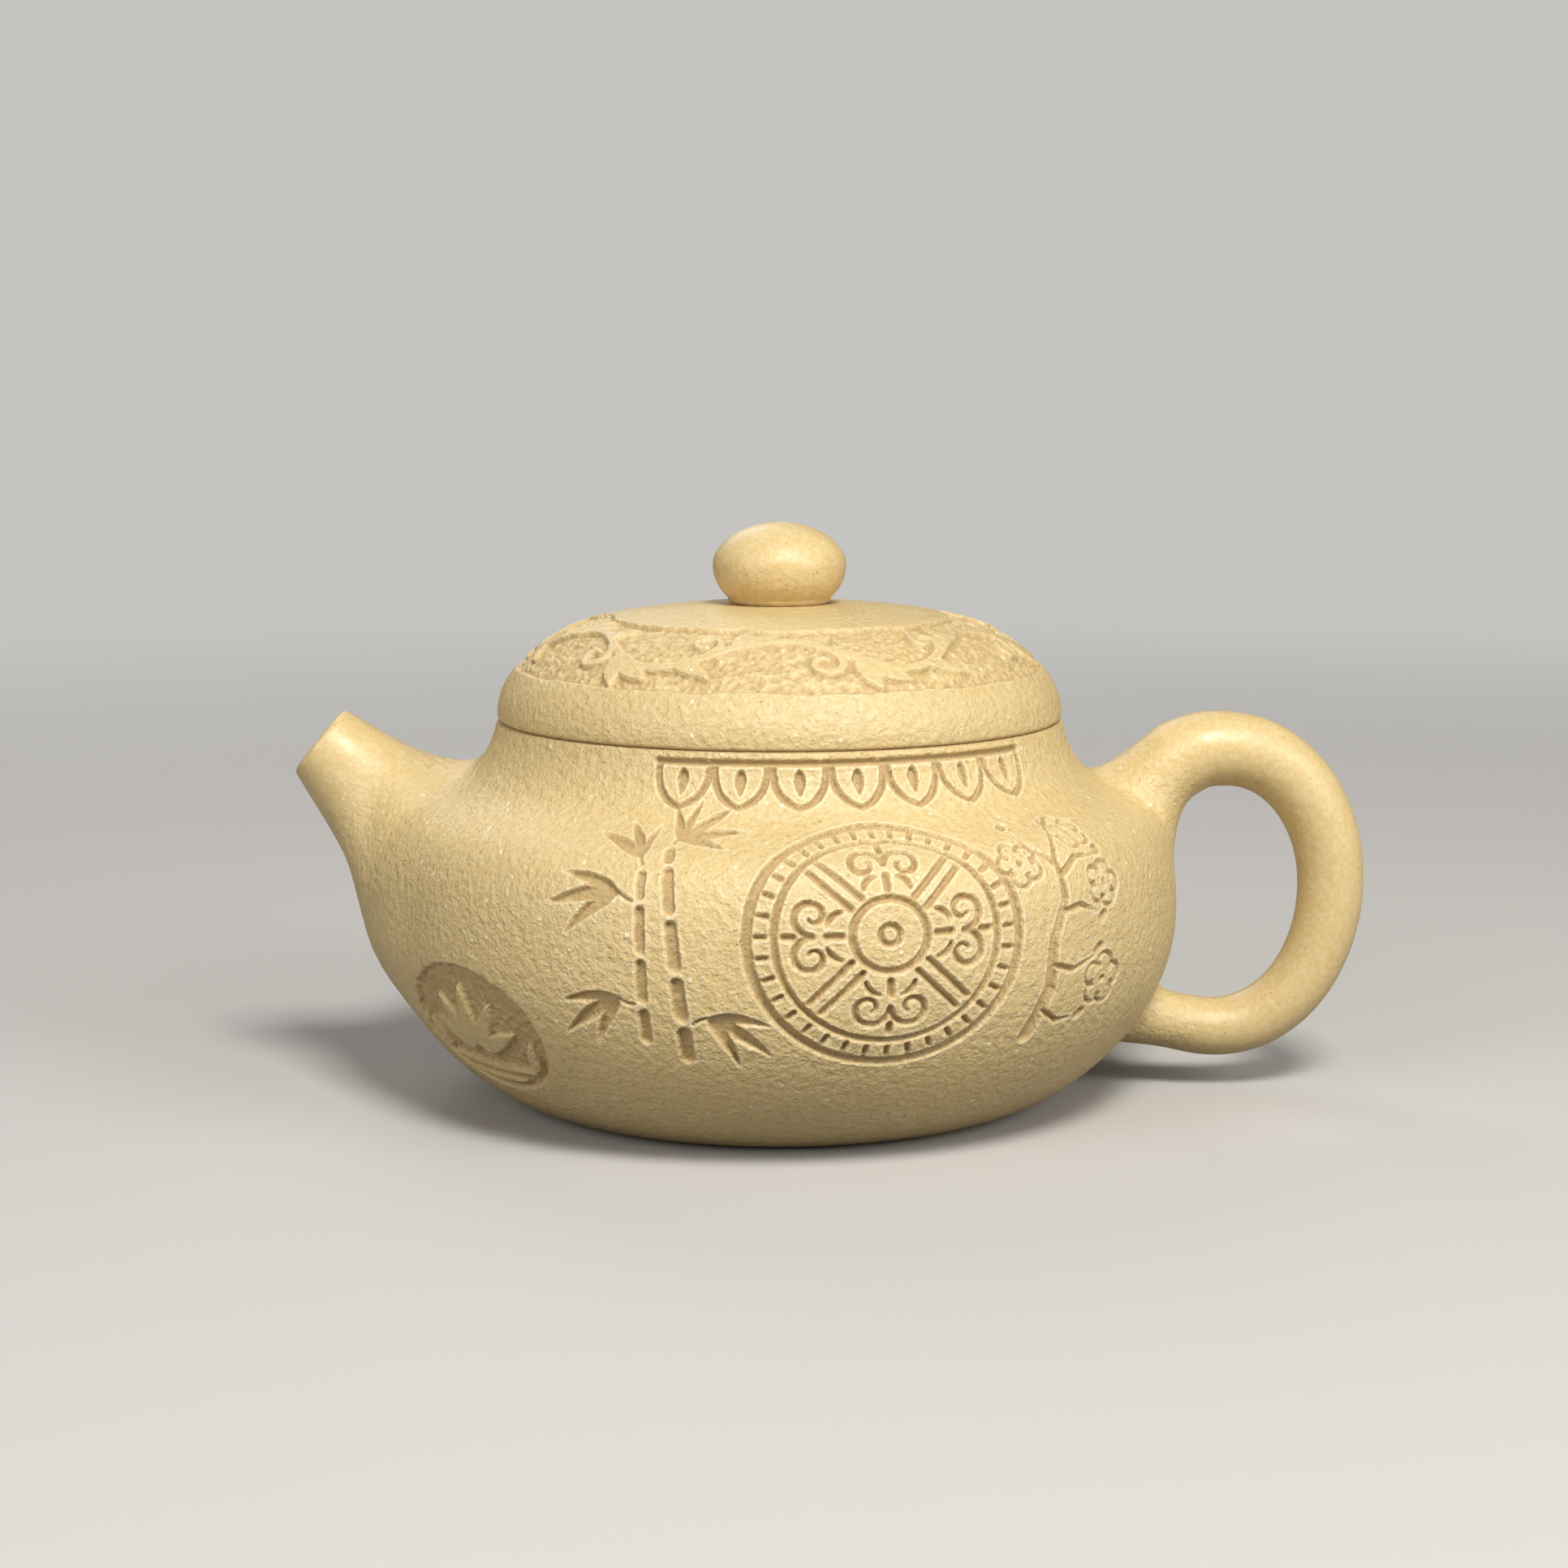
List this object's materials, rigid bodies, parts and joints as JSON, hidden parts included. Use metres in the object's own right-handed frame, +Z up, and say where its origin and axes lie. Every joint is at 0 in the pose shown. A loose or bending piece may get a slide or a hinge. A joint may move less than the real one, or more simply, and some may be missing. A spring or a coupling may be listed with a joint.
{
  "type": "clay teapot",
  "caption": "Low round unglazed clay teapot with a short spout, an inner strainer, a loop handle and a domed lift-off lid with a ball knob.",
  "frame": {"origin": "centre of the foot ring, in the plane of the table that the pot stands on", "axes": "+Z up along the pot's axis, +X towards the handle, -X towards the spout"},
  "size_m": [0.1418, 0.105, 0.0753],
  "materials": {
    "clay_body": "unglazed, fine sandy grain, carved",
    "clay_lid": "unglazed, fine sandy grain, carved panel",
    "clay_smooth": "unglazed, burnished to a soft sheen"
  },
  "bodies": {
    "pot": {"base_disc": "clay_body", "body_wall": "clay_body", "shoulder_disc": "clay_body", "neck_ring": "clay_body", "mouth_ring": "clay_body", "spout": "clay_smooth", "strainer": "clay_smooth", "handle": "clay_smooth"},
    "lid": {"lid_seat_plate": "clay_lid", "lid_dome": "clay_lid", "lid_flange": "clay_lid", "knob": "clay_smooth"}
  },
  "joints": [
    {"name": "lid_lift", "type": "slide", "parent": "pot", "child": "lid", "axis": [0, 0, 1], "range_m": [0, 0.06]}
  ]
}
